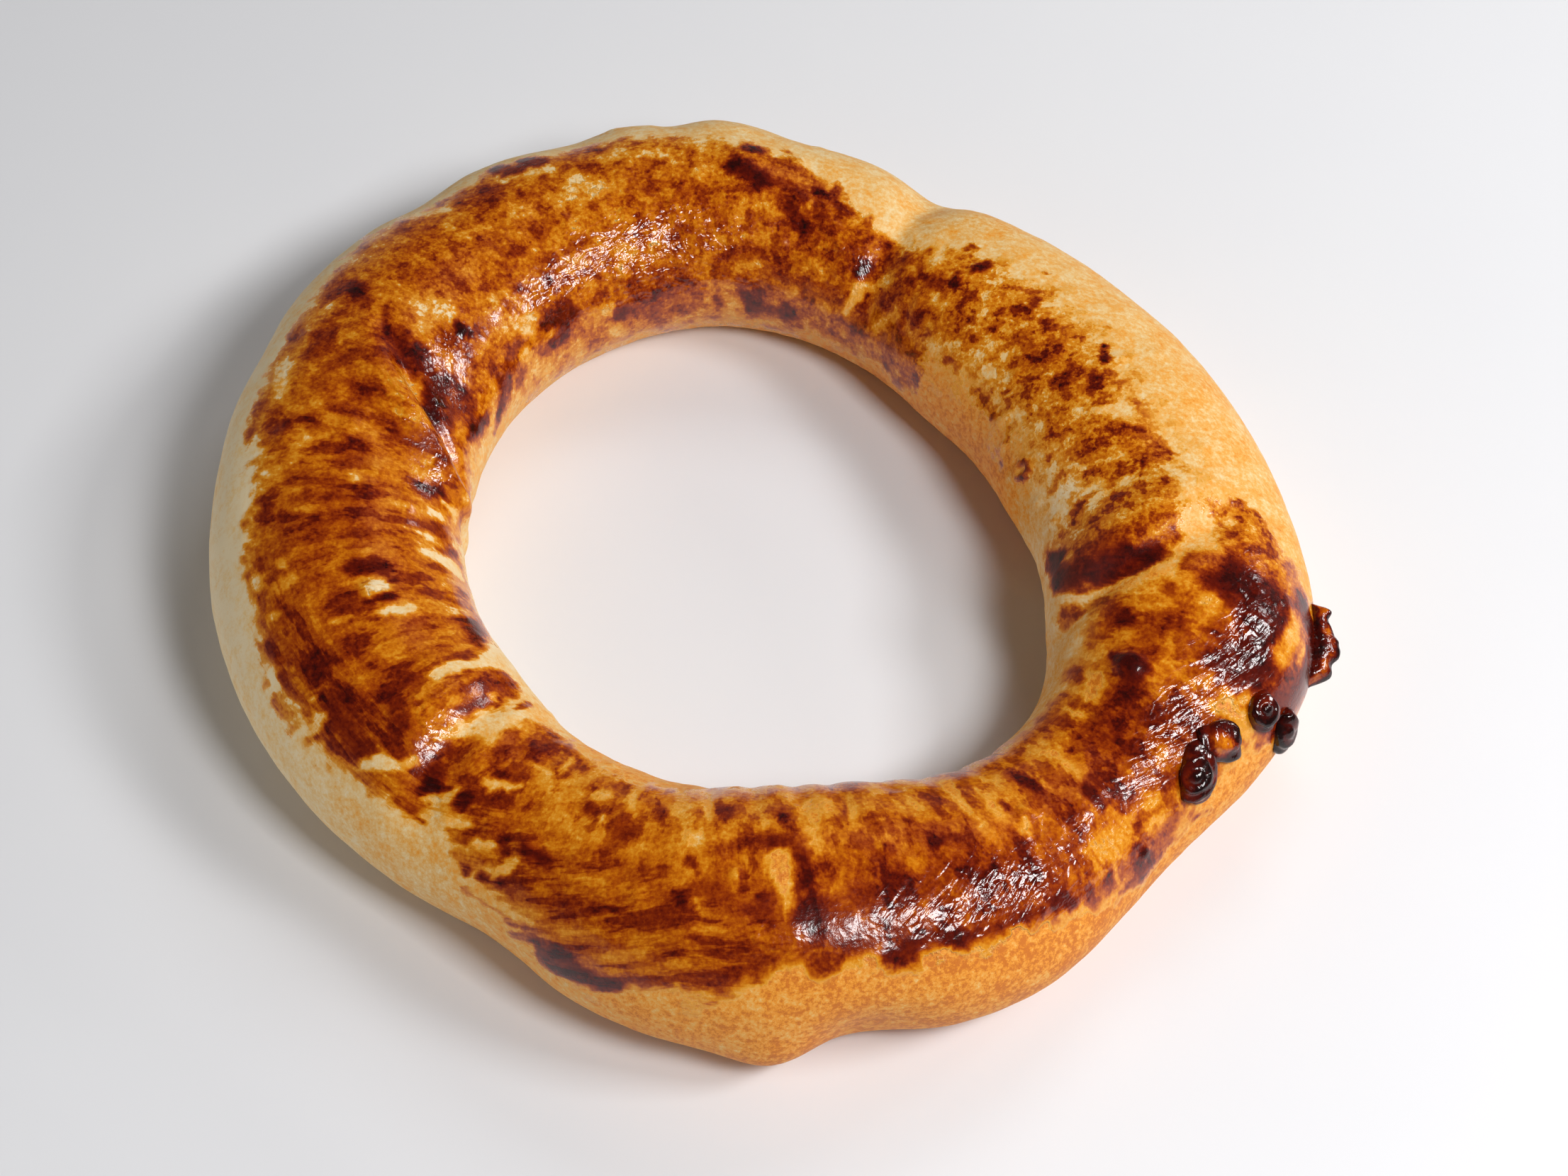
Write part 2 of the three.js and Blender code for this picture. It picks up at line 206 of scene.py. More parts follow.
# Dabs of the brush, painted in turn: from bearing and roll, to bearing and roll, half width in
# millimetres, and how dark: 0.1 bare dough, 0.3 gold, 0.5 amber brown, 0.7 brown, 0.9 scorched
# A few lighter dabs are painted sheen or partly a painted highlight, each marked where it stands
DABS = {
    "back right, speckled": [
        (5, 95, 12, 104, 2.5, .55), (5, 118, 20, 128, 3.0, .46), (21, 100, 26, 116, 2.0, .58),
        (30, 112, 43, 116, 2.2, .57), (32, 102, 42, 100, 1.6, .52), (24, 117, 26, 117, 1.2, .66),
        (13.5, 98, 15.5, 106, 1.8, .12), (38, 156, 46, 160, 3.0, .12), (30, 150, 37, 150, 1.4, .46),
        (20, 165, 25, 166, 1.4, .40), (21.3, 152, 21.3, 152, 1.0, .66), (24.2, 90, 27, 85, 0.8, .90),
        (35, 97, 35.4, 97, 0.8, .76), (41.2, 94, 41.2, 91, 0.9, .72), (44, 71.5, 44, 71.5, 0.6, .68),
        (30, 136, 31, 136, 0.6, .72), (6, 91, 5, 86, 0.8, .68), (4.2, 124, 4.4, 121, 1.0, .64),
        (13.3, 154.5, 13.7, 154.5, 2.5, .78), (13.6, 156, 13.7, 155, 1.1, .16),
    ],
    "back notch": [
        (48, 100, 58, 95, 3.0, .40), (45, 128, 58, 128, 3.0, .46), (45, 117, 50, 120, 1.2, .60),
        (52.2, 92, 53, 98, 1.1, .82), (55.8, 83, 57, 88, 1.0, .68), (54.5, 107, 55, 105, 1.2, .74),
        (54.5, 119, 54.5, 119, 0.9, .68), (57, 113, 61, 114, 1.6, .73), (57, 133, 58, 140, 1.8, .64),
        (55, 170, 61, 150, 3.6, .55), (58, 180, 64, 160, 3.0, .55), (63, 122, 68, 150, 2.0, .57),
        (69, 150, 71, 172, 2.4, .63), (64.5, 110, 65, 106, 1.2, .70), (68.5, 112, 68.5, 106, 1.2, .68),
        (63, 143, 65.5, 156, 1.2, .24), (66, 125, 70, 136, 1.0, .28), (71.5, 138, 73.5, 158, 1.7, .10),
        (52, 142, 54, 144, 1.0, .22), (46, 165, 51, 152, 3.0, .14),
    ],
    "back": [
        (72.5, 128, 74, 117, 2.0, .66), (76.5, 98, 82, 97, 1.2, .76), (81, 108, 87, 100, 2.0, .76),
        (83.5, 118, 86, 112, 2.0, .78), (79, 88, 79.5, 92, 1.0, .68), (78, 150, 88, 145, 2.5, .50),
        (75.5, 165, 80, 158, 1.5, .36), (84, 160, 89, 158, 1.5, .38), (82.3, 107, 82.3, 107, 0.7, .28),
        (84.5, 179, 88, 178, 2.4, .80), (91, 178, 93, 170, 2.3, .78), (98, 176, 98.5, 172, 1.5, .80),
        (95.5, 178, 96.5, 170, 1.2, .30), (90.5, 100, 94, 95, 2.0, .88), (90, 81, 92, 83, 1.2, .76),
        (93.6, 89, 93.6, 88, 1.1, .80), (103, 172, 112, 165, 3.2, .68), (110, 177, 114, 165, 2.3, .68),
        (116.5, 170, 118.5, 158, 1.8, .83), (103, 158, 115, 155, 2.6, .62),
        (119, 162, 123, 165, 2.0, .30), (117, 180, 121, 172, 1.5, .30), (96, 84, 110, 81, 2.6, .32),
        (103, 112, 108, 104, 2.4, .58), (113, 97, 119, 96, 3.0, .27), (92, 122, 92, 120, 1.2, .68),
    ],
    "back left": [
        (125.5, 152, 131, 152, 2.2, .86), (128, 162, 130.5, 165, 2.0, .76),
        (131.5, 130, 131.5, 126, 1.0, .76), (127, 132, 127.5, 128, 1.2, .72),
        (123, 95, 131, 92, 3.0, .46), (122.5, 84, 122.5, 83, 0.8, .70), (110.5, 72, 111.5, 70, 1.2, .64),
        (118, 67, 119.5, 58, 1.6, .80), (121.5, 66, 122.5, 54, 1.9, .82),
        (124.5, 75, 126.5, 73, 1.6, .72), (128, 80, 131, 70, 2.0, .60), (131, 58, 131, 55, 1.0, .70),
        (118, 75, 123, 72, 1.3, .18), (132, 68, 133.5, 58, 1.4, .14), (133.5, 146, 137, 138, 2.8, .22),
        # The dab from (137, 78) to (139, 98) is lighter brown, partly the crust's tone and partly painted
        # sheen
        (134.5, 176, 138, 160, 2.6, .24), (137, 78, 139, 98, 2.6, .50), (139.5, 165, 142, 170, 1.5, .62),
    ],
    "fold": [
        (145, 109, 151, 113, 2.4, .28), (150, 140, 152.5, 143, 1.5, .34), (138, 147, 142, 156, 2.4, .54),
        (148, 173, 152, 178, 1.8, .56), (144.5, 162, 149, 172, 2.0, .80),
        (155.5, 131, 163, 137, 2.8, .88), (154, 105, 157, 118, 2.0, .72), (153, 116, 156, 124, 1.9, .72),
        (154, 148, 163, 142, 2.0, .74), (153, 165, 160, 160, 1.4, .80), (145, 126, 145.4, 126, 1.3, 1.0),
        (151.5, 111, 151.7, 111, 0.8, .20), (150, 94, 155, 102, 0.9, .74),
        (148.5, 72, 150.5, 82, 2.0, .76), (149, 60, 152, 68, 2.0, .60), (157, 76, 160, 72, 2.0, .70),
        (154.5, 57, 160, 55, 1.8, .50), (153, 67, 156, 66, 1.4, .30), (163, 62, 166, 64, 2.0, .16),
        (154, 80, 157, 82, 1.2, .30), (168, 52, 172, 52, 2.0, .42),
    ],
    "left": [
        (163, 100, 170, 98, 2.8, .61), (173, 104, 178, 98, 2.2, .64), (182, 104, 191, 98, 3.0, .63),
        # The dab from (160, 118) to (168, 125) is gold, partly the crust's gold and partly a painted
        # highlight
        (160, 118, 168, 125, 3.2, .31), (167, 88, 169, 95, 1.2, .68), (171, 80, 171, 74, 2.0, .66),
        (167.5, 110, 169, 118, 1.5, .62), (164, 155, 170, 151, 2.6, .36), (173, 78, 176, 75, 2.0, .30),
        (179.5, 101, 179.8, 99, 1.3, .24), (171.5, 142, 171.5, 140, 1.0, .68),
        (176, 146, 177, 133, 1.3, .74), (172, 168, 178, 163, 2.0, .56),
        (177.8, 160, 177.5, 148, 1.4, .10), (181, 147, 181, 140, 1.0, .14),
        (180, 90, 180.5, 84, 2.0, .65), (183.5, 145, 185, 130, 1.6, .70),
        (187, 157, 188.5, 146, 1.5, .72), (184.5, 159, 184.8, 156, 1.2, .15),
        (186.3, 140, 186.5, 124, 0.9, .14), (190.8, 156, 190.7, 130, 1.7, .08),
        (202.5, 148, 203.2, 136, 1.6, .18), (195, 143, 199, 140, 2.3, .37),
        # The dab from (184, 118) to (208, 128) is painted sheen: a lighter band over the brown
        (184, 118, 208, 128, 3.4, .46), (182, 90, 190, 86, 3.4, .64), (206, 142, 211, 136, 2.6, .66),
        (194, 106, 194, 94, 1.6, .82), (195, 109, 198, 109, 1.1, .76), (200.2, 106, 200.2, 94, 0.9, .82),
        (197.6, 103, 198.6, 97, 1.7, .10), (202.8, 112, 202.4, 95, 1.6, .12),
        (202.3, 90, 201.8, 75, 0.8, .38), (191, 66, 191, 64, 0.8, .25), (193.5, 66, 193.5, 58, 1.2, .30),
        (197, 54, 197, 52, 0.8, .24), (205, 62, 209, 56, 2.0, .65), (208, 59, 209, 50, 0.5, .24),
        (206, 34, 207, 32, 1.5, .42),
    ],
    "neck": [
        (213, 150, 219, 148, 3.2, .08), (215.5, 142, 215.8, 101, 2.1, .08),
        (213.5, 126, 214, 112, 1.2, .74), (220.5, 138, 220, 120, 2.6, .69),
        (222.5, 122, 222, 100, 1.6, .76), (221.5, 121, 222.5, 122, 0.8, .25),
        (227, 152, 226.2, 104, 4.4, .08), (224.8, 115, 223.8, 85, 2.2, .10),
        (225, 142, 225.2, 128, 0.9, .66), (211, 59, 219, 56, 2.6, .75), (213, 52, 218, 50, 2.0, .80),
        (216, 78, 219, 73, 1.8, .76), (216.5, 92, 222, 82, 2.2, .40), (219, 48, 223.2, 65, 1.1, .10),
        (211.5, 48, 211.5, 36, 0.8, .15), (226, 68, 226.5, 58, 1.8, .83),
        (231.3, 67, 231.5, 56, 1.3, .80), (228, 56, 230, 68, 1.0, .12), (225, 46, 229, 46, 1.0, .66),
        (231.5, 99, 233, 90, 2.4, .75), (233, 98, 238, 94, 2.0, .44), (231, 112, 238, 112, 2.4, .58),
        (230, 128, 234, 134, 2.2, .50), (232.5, 80, 236.5, 90, 1.1, .10),
        (239.3, 121, 239.5, 108, 0.9, .18), (235, 104, 238.5, 104, 0.8, .22),
    ],
    "front left": [
        (230, 52, 234, 57, 1.6, .10), (234.5, 55, 237, 57, 0.9, .64), (235, 42, 236, 37, 1.3, .60),
        (238.5, 63, 240, 59, 1.2, .76), (237.5, 38, 241.5, 56, 1.0, .12), (238.5, 40, 242, 42, 1.3, .72),
        (236, 54, 238, 57, 0.7, .12), (236.5, 27, 244, 26, 0.8, .46), (243.5, 18, 247, 23, 0.8, .60),
        (240, 31, 246, 33, 0.6, .16), (248.5, 15, 255, 17, 2.5, .80), (249.5, 25, 252, 20, 1.5, .84),
        (242.5, 64, 245.5, 64, 1.6, .86), (252, 54, 255, 56, 0.6, .68), (253, 62, 260, 64, 0.8, .60),
        (247, 88, 254, 84, 2.8, .34), (251, 44, 262, 40, 3.0, .53), (246.5, 97, 247.6, 97, 1.2, .76),
        (249.3, 95, 249.4, 94, 0.8, .12), (247, 105, 248.5, 107, 1.1, .15),
        (249.5, 117, 250, 110, 2.2, .69), (252, 121, 252.5, 105, 1.1, .15),
        (256.5, 107, 258, 102, 1.3, .68), (262.3, 121, 263.8, 106, 0.8, .15),
        (261, 96, 261.2, 95, 0.7, .20), (262, 85, 263, 83, 0.8, .76), (261.5, 67, 261.8, 65, 1.1, .78),
        (263.6, 66, 263.8, 64, 0.8, .18), (265.5, 114, 265.8, 109, 1.6, .60),
        (264, 72, 269, 66, 1.8, .64), (265, 90, 269, 95, 1.8, .62), (267.4, 82, 267.8, 80, 0.9, .28),
    ],
    "front": [
        (268, 112, 272, 108, 2.2, .34), (272, 98, 276, 90, 2.0, .78), (275.8, 80, 276, 88, 1.0, .80),
        (274, 109, 276, 98, 1.4, .68), (270, 65, 271.5, 72, 1.5, .72), (272.8, 89, 273.6, 65, 1.2, .14),
        (275.3, 72, 275.6, 60, 0.6, .20), (276.5, 65, 281, 50, 2.8, .78),
        (281.5, 70, 283.5, 58, 1.8, .78), (279, 80, 283, 82, 2.0, .60), (277, 112, 278.6, 126, 2.3, .28),
        (279.5, 122, 280, 100, 1.5, .32), (271, 130, 274, 140, 3.0, .33),
        (281.5, 128, 281.8, 108, 1.2, .58), (284, 128, 283, 108, 0.8, .22),
        (285.2, 90, 286, 94, 0.6, .22), (286.1, 89, 286.3, 88, 0.7, .70), (292, 90, 294.5, 88, 1.3, .83),
        (290.5, 95, 295, 93, 2.0, .60), (296, 122, 296.5, 108, 1.5, .62),
        (298.5, 130, 298, 103, 1.0, .15), (301.5, 125, 301, 100, 0.7, .28),
        (303, 131, 303.5, 118, 0.8, .22), (302.5, 99, 302.5, 95, 0.8, .76),
        (307.5, 115, 308.5, 95, 1.6, .72), (310, 130, 309.5, 105, 1.0, .65), (285, 62, 311, 56, 5.0, .66),
        (283, 44, 300, 43, 1.4, .80), (302, 43, 303.5, 36, 1.6, .85), (303, 80, 303.5, 86, 1.0, .35),
        (309.4, 98, 309.5, 96, 0.7, .22),
    ],
    "front right": [
        (310, 46, 322, 36, 4.0, .33), (312.8, 78, 313, 66, 1.3, .87), (314.8, 80, 315, 62, 0.7, .84),
        (306, 35, 311, 28, 1.6, .56), (316, 44, 319, 40, 1.0, .60), (313, 34, 316, 33, 0.8, .58),
        (309, 33, 309.5, 30, 0.7, .76), (314.6, 27, 314.8, 25, 0.8, .80), (311, 20, 316, 14, 1.2, .46),
        (314, 120, 314.5, 104, 1.6, .30), (313, 58, 316, 62, 1.2, .36), (321.5, 123, 322, 108, 1.0, .20),
        (326, 112, 327.5, 120, 1.8, .18), (323, 118, 323.8, 105, 1.0, .67),
        (322.5, 95, 321.5, 85, 1.4, .85), (320, 96, 336, 98, 3.8, .68), (329.8, 96, 330.5, 108, 2.0, .90),
        (331.7, 108, 331.9, 98, 0.5, .50), (336.5, 112, 336.6, 108, 1.6, .78),
        (341, 97, 342, 96, 1.0, .70), (337.5, 90, 339, 92, 2.0, .60), (332, 86, 334, 84, 1.5, .60),
        (317, 63, 324, 68, 2.6, .64), (333.6, 62, 334, 46, 1.5, .18), (331.6, 52, 331.8, 25, 1.4, .12),
        (337, 45, 340, 52, 2.2, .88), (320, 18, 324, 12, 1.6, .42),
    ],
    "join": [
        (344, 74, 346, 60, 3.0, .86), (347, 50, 345, 55, 2.0, .80), (349, 68, 353, 64, 1.6, .62),
        (352, 74, 354, 76, 1.6, .56), (352, 56, 354, 50, 1.6, .44), (357, 65, 357.4, 63, 1.2, .50),
        (345.5, 86, 345.6, 84, 1.3, .63), (348.8, 83, 348.9, 81, 1.0, .56),
        (347, 134, 350, 118, 3.0, .72), (344, 146, 352, 165, 3.2, .84), (344, 130, 347, 118, 2.8, .86),
        (345, 113, 348, 103, 2.2, .86), (350, 150, 352.5, 162, 1.9, .92),
        (353, 108, 354.5, 128, 2.6, .32), (354.5, 128, 359, 108, 2.0, .43),
        (356, 140, 359, 132, 2.0, .44), (359.5, 128, 359.8, 126, 0.8, .70),
        (341.5, 152, 340.8, 124, 1.2, .10), (340.8, 124, 344.2, 102, 1.4, .10),
        (344.2, 102, 350, 88, 1.4, .10), (350, 86, 360, 83, 2.2, .10), (338.2, 150, 339, 140, 1.9, .50),
        (336, 59, 343, 46, 3.8, .88), (342, 56, 347, 68, 3.0, .84), (334, 83, 342, 80, 2.4, .34),
        (353, 62, 357, 58, 2.4, .42), (355, 100, 359, 95, 2.4, .42), (336, 24, 348, 10, 4.0, .84),
        (347.5, 30, 345, 14, 2.2, .88), (340.5, 40, 345.2, 36, 2.0, .28), (340.6, 30, 343, 28, 0.9, .32),
    ],
}
# Glossy spots: bearing, roll, half sizes along and across in degrees, and how wrinkled
GLOSSY = [
    (298, 60, 15, 26, 1.0), (329, 64, 14, 20, 1.0), (108, 134, 17, 27, 1.5), (126, 140, 8, 16, 0.8),
    (158, 130, 5, 13, 1.0), (172, 143, 4, 8, 1.0), (149, 124, 4, 10, 0.9), (219, 83, 5, 14, 1.0),
    (78, 120, 8, 22, 0.8), (163, 120, 7, 18, 1.0), (271, 54, 4, 10, 0.8), (339, 62, 7, 18, 1.0),
    (194, 100, 2, 8, 0.6), (200, 100, 2, 8, 0.6), (213.5, 104, 2, 6, 0.6), (227, 66, 2, 8, 0.6),
]
# How many spreads of its bells a glossy spot's half sizes are
GLOSSY_SPREADS = 1.5
# Bubbles in the crust: bearing, roll, radius, height
BUBBLES = [
    (198.2, 100, 1.9, 0.7), (330, 101, 2.4, 0.8), (267.6, 81, 1.2, 0.4), (275.5, 117, 0.9, 0.4),
    (285.6, 90, 0.9, 0.4), (82.4, 107, 0.9, 0.3), (309.4, 97, 0.8, 0.3), (314.7, 26, 1.0, 0.4),
    (53, 95, 1.3, 0.5), (54.6, 107, 1.0, 0.4), (145.2, 126, 1.3, 0.5), (261.2, 95.5, 0.8, 0.3),
    (249.3, 95, 0.8, 0.3), (227, 65, 1.6, 0.5), (302.6, 97, 0.7, 0.3),
]
# An open blister: bearing, roll, radius, width and height of its rim
OPEN_BLISTER = (13.5, 154.5, 2.0, 0.55, 0.7)
# Where a bubble's edge ends and its flat top starts, in its radii
BUBBLE_EDGE = (1.3, 0.5)
# Relief of the crust: height, size of the lumps in millimetres, seed. Ridges are drawn out across the rope
SOFT_LUMPS = (0.32, 11, 71)
SMALL_LUMPS = (0.10, 3.2, 76)
RIDGES = (0.16, 2.6, 81)
RIDGE_SCALE = (1, 1, 0.3)
# How dark the skin is where ridges start and are full, and the same for all relief in degrees from the base
RIDGED_BAKES = (0.2, 0.6)
RELIEF_EDGE = (-12, 14)
# Small blisters: how many, seed, the rolls and the sizes they lie between, height over size
SMALL_BLISTERS = 150
SMALL_BLISTERS_SEED = 5
SMALL_BLISTERS_ROLLS = (40, 165)
SMALL_BLISTERS_SIZES = (0.6, 1.3)
SMALL_BLISTERS_HEIGHT = 0.28

# Cheese burnt onto the crust as beads: bearing, roll, half length, half width and half height, lean of the
# length from the ring's line, how far the middle stands out, and how dark the top and the rim are
BEADS = {
    "large_bead": (334.3, 33, (4.3, 3.2, 2.7), 45, 0.3, 0.98, 0.86),
    "hanging_bead": (335.7, 10, (4.4, 2.4, 2.3), 55, 0.3, 0.90, 0.94),
    "crusted_bead": (324.4, 37, (5.4, 4.3, 2.6), 50, 0.1, 0.98, 0.84),
    "crusted_lobe": (328.5, 42, (5.0, 3.6, 1.9), -44, 0.1, 0.46, 0.90),
}
# Ripples on a bead: length, height, how much they darken it, where they spread from in its half sizes,
# and the height and size of their wobble
RIPPLE_LENGTH = 2.6
RIPPLE_HEIGHT = 0.16
RIPPLE_DARK = 0.05
RIPPLE_FROM = (0.2, 0.45, 0.85)
RIPPLE_WOBBLE = (1.3, 3.0)
# How unevenly a bead swells, as a share and as a size of lumps, the first bead's seed, the step to the
# next bead's, and the step to the swell's
BEAD_SWELL = (0.24, 4.5)
BEAD_SEED = 100
BEAD_SEED_STEP = 20
SWELL_SEED = 7
# Steps of a bead's grid down and round it, and the sine of the way down where its rim starts and is full
BEAD_STEPS = (46, 72)
BEAD_RIM = (0.25, 0.85)
# How glossy and wrinkled the beads and the flap are, and the toast of the dough that doesn't show on them
BEAD_GLOSS = {"glossy": 1.0, "wrinkled": 0.1}
FLAP_GLOSS = {"glossy": 0.7, "wrinkled": 0.4}
BURNT_TOAST = 0.5
# Degrees between the points of the skin that give its directions
SEAT_STEP = 0.3
# A ragged flap of burnt cheese: from and to, how far it and its tip stand out, where the tip is and how
# long, its thickness and how far it hangs
FLAP_FROM = (350.5, 17)
FLAP_TO = (342, 4)
FLAP_REACH = 2.2
FLAP_TIP = 2.9
FLAP_TIP_AT = 0.55
FLAP_TIP_LENGTH = 0.2
FLAP_THICKNESS = 0.9
FLAP_HANG = 1.0
# Its length and width as its noises see them, and how deep its foot sits in the crust, in millimetres
FLAP_LENGTH = 12
FLAP_WIDTH = 5
FLAP_ROOT = 1
# Shares of its foot: where its reach and its thickness are full, and where it starts to hang and hangs
FLAP_REACH_TAPER = (0.15, 0.8)
FLAP_THICK_TAPER = (0.2, 0.85)
FLAP_HANG_FROM = (0, 0.5)
FLAP_THIN_ENDS = 0.35
# Rags and nicks of its edge, and how its face is crumpled: height, size of the lumps in millimetres, seed
FLAP_RAGS = (0.35, 3.2, 91)
FLAP_NICKS = (0.2, 0.9, 95)
FLAP_CRUMPLE = (0.5, 2.2, 97)
# Steps of its grid along and round it, and the shares of its foot where the grid starts and ends
FLAP_STEPS = (110, 40)
FLAP_ENDS = (0.004, 0.996)
# How dark its foot is, how much paler its face and then darker its edge, and where both start and are full
FLAP_FOOT_DARK = 0.90
FLAP_FACE_PALER = 0.34
FLAP_EDGE_DARKER = 0.36
FLAP_FACE = (0.45, 0.65)
FLAP_EDGE = (0.84, 0.97)


def turn(start, end):
    """The short way round from one angle to another, in degrees."""
    return (end - start + 900) % 360 - 180


def bell(distance, spread):
    """A rounded hump: e to the power of minus half the squared distance over the spread."""
    return np.exp(-0.5 * (distance / spread) ** 2)


def ease(low, high, value):
    """A soft step from 0 at low to 1 at high, as 3t squared less 2t cubed."""
    t = np.clip((value - low) / (high - low), 0, 1)
    return t * t * (3 - 2 * t)


def mixed(first, last, share):
    """A straight blend from the first value at 0 to the last at 1."""
    return first + (last - first) * share


def by_bearing(knots, bearing):
    """Straight lines between given values round the ring."""
    places, values = zip(*knots)
    return np.interp(bearing, places, values, period=360)


def within(stretch, bearing):
    """1 along a stretch of the ring, falling softly to 0 at its ends."""
    middle, ended, full = stretch
    return ease(ended, full, np.abs(turn(middle, bearing)))


def lattice(cell, seed):
    """A steady random number from 0 to 1 for each whole-numbered cell, by multiplying and folding bits."""
    x, y, z = (cell[..., k].astype(np.uint32) * np.uint32(SCATTER[k]) for k in range(3))
    bits = x + y + z + np.uint32(seed * SCATTER_AGAIN % 2**32)
    bits = (bits ^ (bits >> np.uint32(13))) * np.uint32(SCATTER_AGAIN)
    return (bits ^ (bits >> np.uint32(16))) / 2**32


def noise(points, size, seed):
    """Smooth noise from -1 to 1 with lumps about size apart: random values at the corners of a cube
    lattice, blended across each cube by the soft step."""
    place = points / size
    cell = np.floor(place).astype(np.int64)
    share = ease(0, 1, place - cell)
    total = 0
    for corner in np.ndindex(2, 2, 2):
        weight = np.prod(np.where(corner, share, 1 - share), axis=-1)
        total = total + weight * lattice(cell + corner, seed)
    return 2 * total - 1


def layered(points, size, seed, layers=3):
    """Noise with finer layers on top, each half the size and half the height of the last."""
    total = sum(noise(points, size / 2**k, seed + k) / 2**k for k in range(layers))
    return total / (2 - 2 ** (1 - layers))


def rough(points, height, size, seed):
    """Plain noise times a height."""
    return height * noise(points, size, seed)


def lumpy(points, height, size, seed):
    """Layered noise times a height."""
    return height * layered(points, size, seed)


# The ring's form


def rope_at(bearing):
    """The middle line's radius, an oval, and the half width, each with its rounded swells added."""
    radius = RING_RADIUS + RING_OVAL * np.cos(2 * np.radians(bearing - OVAL_BEARING))
    half_width = np.full_like(radius, ROPE_HALF_WIDTH)
    for at, spread, shift, swell in SWELLS:
        share = bell(turn(at, bearing), spread)
        radius = radius + shift * share
        half_width = half_width + swell * share
    return radius, half_width


def laid_flat(bearing, roll, at_bearing, at_roll):
    """How far a place lies along the ring and round the rope from another, in millimetres."""
    along = np.radians(turn(at_bearing, bearing)) * RING_RADIUS
    around = np.radians(turn(at_roll, roll)) * ROPE_HALF_WIDTH
    return along, around


def lump_lift(lump, bearing, roll):
    """A rounded lump: its height times a bell along the ring times a bell round the rope."""
    at_bearing, at_roll, length, width, height = lump
    along, around = laid_flat(bearing, roll, at_bearing, at_roll)
    return height * bell(along, length) * bell(around, width)


def crease_line(start, end, bearing, roll):
    """Distance across a straight line on the flattened skin, the share of it gone by, and how far past its
    ends a place is."""
    along, around = laid_flat(bearing, roll, *start)
    line_along, line_around = laid_flat(*end, *start)
    span = np.hypot(line_along, line_around)
    forward = (along * line_along + around * line_around) / span
    across = (line_along * around - line_around * along) / span
    past = np.maximum(np.maximum(-forward, forward - span), 0)
    return across, forward / span, past


def crease_lift(crease, bearing, roll):
    """A groove of bell section along a line, with a bank of bell section beside it, growing from its
    start and fading past its ends."""
    start, end, depth, width, bank, bank_at, bank_spread = crease
    across, share, past = crease_line(start, end, bearing, roll)
    lift = bank * bell(across - bank_at, bank_spread) - depth * bell(across, width)
    return lift * ease(*CREASE_GROWTH, share) * bell(past, 2 * width)


def form_lift(bearing, roll):
    """Everything that the part's own form lifts or sinks: lumps, creases and pleats."""
    lift = sum(lump_lift(lump, bearing, roll) for lump in LUMPS.values())
    lift = lift + sum(crease_lift(crease, bearing, roll) for crease in CREASES.values())
    for at in PLEAT_BEARINGS:
        start, end = (at, PLEAT_ROLLS[0]), (at + PLEAT_LEAN, PLEAT_ROLLS[1])
        lift = lift + crease_lift((start, end, *PLEAT_GROOVE), bearing, roll)
    return lift


def skin(bearing, roll, lift):
    """The rope's skin: an ellipse carried round the middle line, cut flat at the base, with each point
    moved out by its lift."""
    radius, half_width = rope_at(bearing)
    half_height = half_width * ROPE_ASPECT
    across, upright = np.cos(np.radians(roll)), np.sin(np.radians(roll))
    out_across, out_up = across / half_width, upright / half_height
    length = np.hypot(out_across, out_up)
    reach = radius + half_width * across + lift * (out_across / length)
    height = np.maximum(0, half_height * (BASE_CUT + upright) + lift * (out_up / length))
    east, north = np.cos(np.radians(bearing)), np.sin(np.radians(bearing))
    return np.stack([reach * east, reach * north, height], -1) - RING_MIDDLE


# The crust


def crust_grid():
    """Bearings and rolls of the crust's grid. The rolls start and end under the middle of the base."""
    bearing = np.arange(STEPS_ROUND_RING) * 360 / STEPS_ROUND_RING
    roll = np.concatenate([
        np.linspace(-90, -BASE_ROLL, STEPS_HALF_BASE, endpoint=False),
        np.linspace(-BASE_ROLL, 180 + BASE_ROLL, STEPS_OVER_SKIN, endpoint=False),
        np.linspace(180 + BASE_ROLL, 270, STEPS_HALF_BASE, endpoint=False),
    ])
    return np.meshgrid(bearing, roll, indexing="ij")


def lay_of(bearing, roll):
    """A place for patterns that follow the skin: round the ring in X and Y, round the rope in Z."""
    angle = np.radians(bearing)
    around = np.radians(roll) * ROPE_HALF_WIDTH
    return np.stack([RING_RADIUS * np.cos(angle), RING_RADIUS * np.sin(angle), around], -1)


def dab(mark, bearing, roll):
    """How far a place is from a dab's short line, in half widths of the dab, which narrows as it goes."""
    from_bearing, from_roll, to_bearing, to_roll, half_width, _ = mark
    along, around = laid_flat(bearing, roll, from_bearing, from_roll)
    line_along, line_around = laid_flat(to_bearing, to_roll, from_bearing, from_roll)
    length = max(line_along**2 + line_around**2, SHORTEST_DAB**2)
    share = np.clip((along * line_along + around * line_around) / length, 0, 1)
    apart = np.hypot(along - share * line_along, around - share * line_around)
    return apart / (half_width * mixed(*DAB_NARROWING, share))


def dotting(bearing):
    """How far the browning is in dots and not in streaks: all of it at the back right, and part of it
    along the back."""
    return np.maximum(within(SPECKLED, bearing), DOTTED_SHARE * within(DOTTED, bearing))


def brushed_along(bearing, roll):
    """1 low on the front left, where the brush ran along the rope, 0 where its streaks run across it."""
    return within(BRUSHED_ALONG, bearing) * ease(*BRUSHED_ALONG_ROLLS, roll)


def brush_of(bearing, roll):
    """A place drawn out along the brush's lines, which climb over the rope as they go round."""
    lay = lay_of(bearing, roll)
    lay[..., 2] -= by_bearing(CLIMB, bearing)
    return lay * BRUSH_SCALE


def streaked(bearing, roll, height, size, seed, layers=3):
    """Noise times a height, drawn out across the rope, or along the brush's lines where it was brushed
    that way."""
    across = layered(lay_of(bearing, roll) * STREAK_SCALE, size, seed, layers)
    along = layered(brush_of(bearing, roll), size, seed, layers)
    return height * mixed(across, along, brushed_along(bearing, roll))


